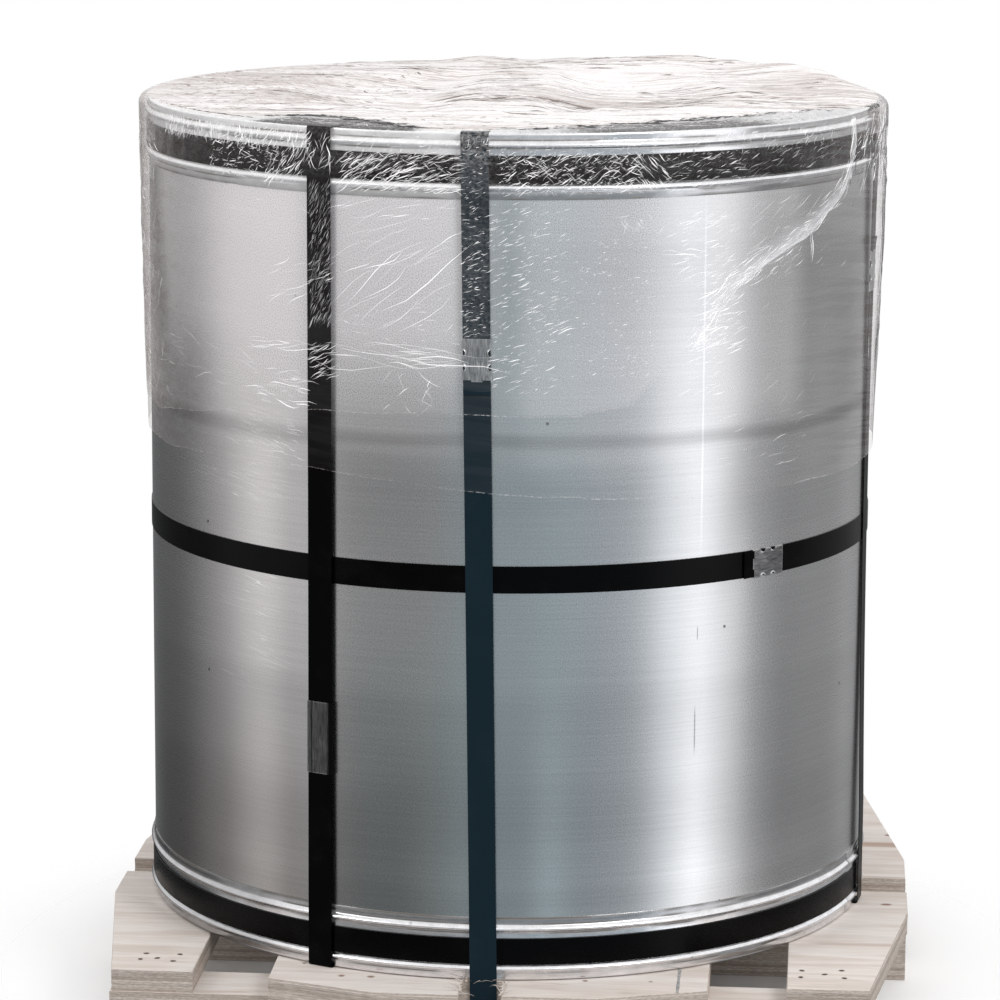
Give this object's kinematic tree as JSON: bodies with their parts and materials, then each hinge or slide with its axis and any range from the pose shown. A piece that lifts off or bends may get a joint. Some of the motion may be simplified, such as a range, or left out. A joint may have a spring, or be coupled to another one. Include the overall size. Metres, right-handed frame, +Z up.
{
  "type": "palletised steel coil",
  "caption": "Coil of bright steel strip standing eye to the sky on a plywood pallet, with edge protector rings, steel straps and clear film over the top.",
  "frame": {"origin": "on the floor under the middle of the pallet", "axes": "+Z up along the coil's axis; the front, with the notch and the tie-down strap, faces -Y; +X to the right seen from the front"},
  "size_m": [1, 1.02, 1.1174],
  "materials": {
    "coil_steel": "bright tinned or galvanised strip, satin",
    "ring_steel": "galvanised sheet with rolled beads, bright",
    "black_strap": "black lacquered steel strapping, semi-gloss",
    "green_strap": "dark green lacquered strapping, semi-gloss",
    "seal_steel": "crimped steel, brushed",
    "film": "clear stretch film, wrinkled",
    "plywood": "raw sawn plywood, weathered pale"
  },
  "bodies": {
    "root": {"steel_coil": "coil_steel", "top_edge_protector": "ring_steel", "bottom_edge_protector": "ring_steel", "top_strap": "black_strap", "middle_strap": "black_strap", "bottom_strap": "black_strap", "eye_strap_front_left": "black_strap", "eye_strap_right": "black_strap", "eye_strap_back_left": "black_strap", "tie_down_strap": "green_strap", "top_strap_seal": "seal_steel", "middle_strap_seal": "seal_steel", "bottom_strap_seal": "seal_steel", "eye_strap_front_left_seal": "seal_steel", "eye_strap_right_seal": "seal_steel", "eye_strap_back_left_seal": "seal_steel", "tie_down_strap_seal": "seal_steel", "film_wrap": "film", "deck_board_front_left": "plywood", "deck_board_front_centre": "plywood", "deck_board_front_right": "plywood", "deck_board_back_left": "plywood", "deck_board_back_centre": "plywood", "deck_board_back_right": "plywood", "cross_bearer_front": "plywood", "cross_bearer_middle": "plywood", "cross_bearer_back": "plywood"}
  },
  "joints": []
}
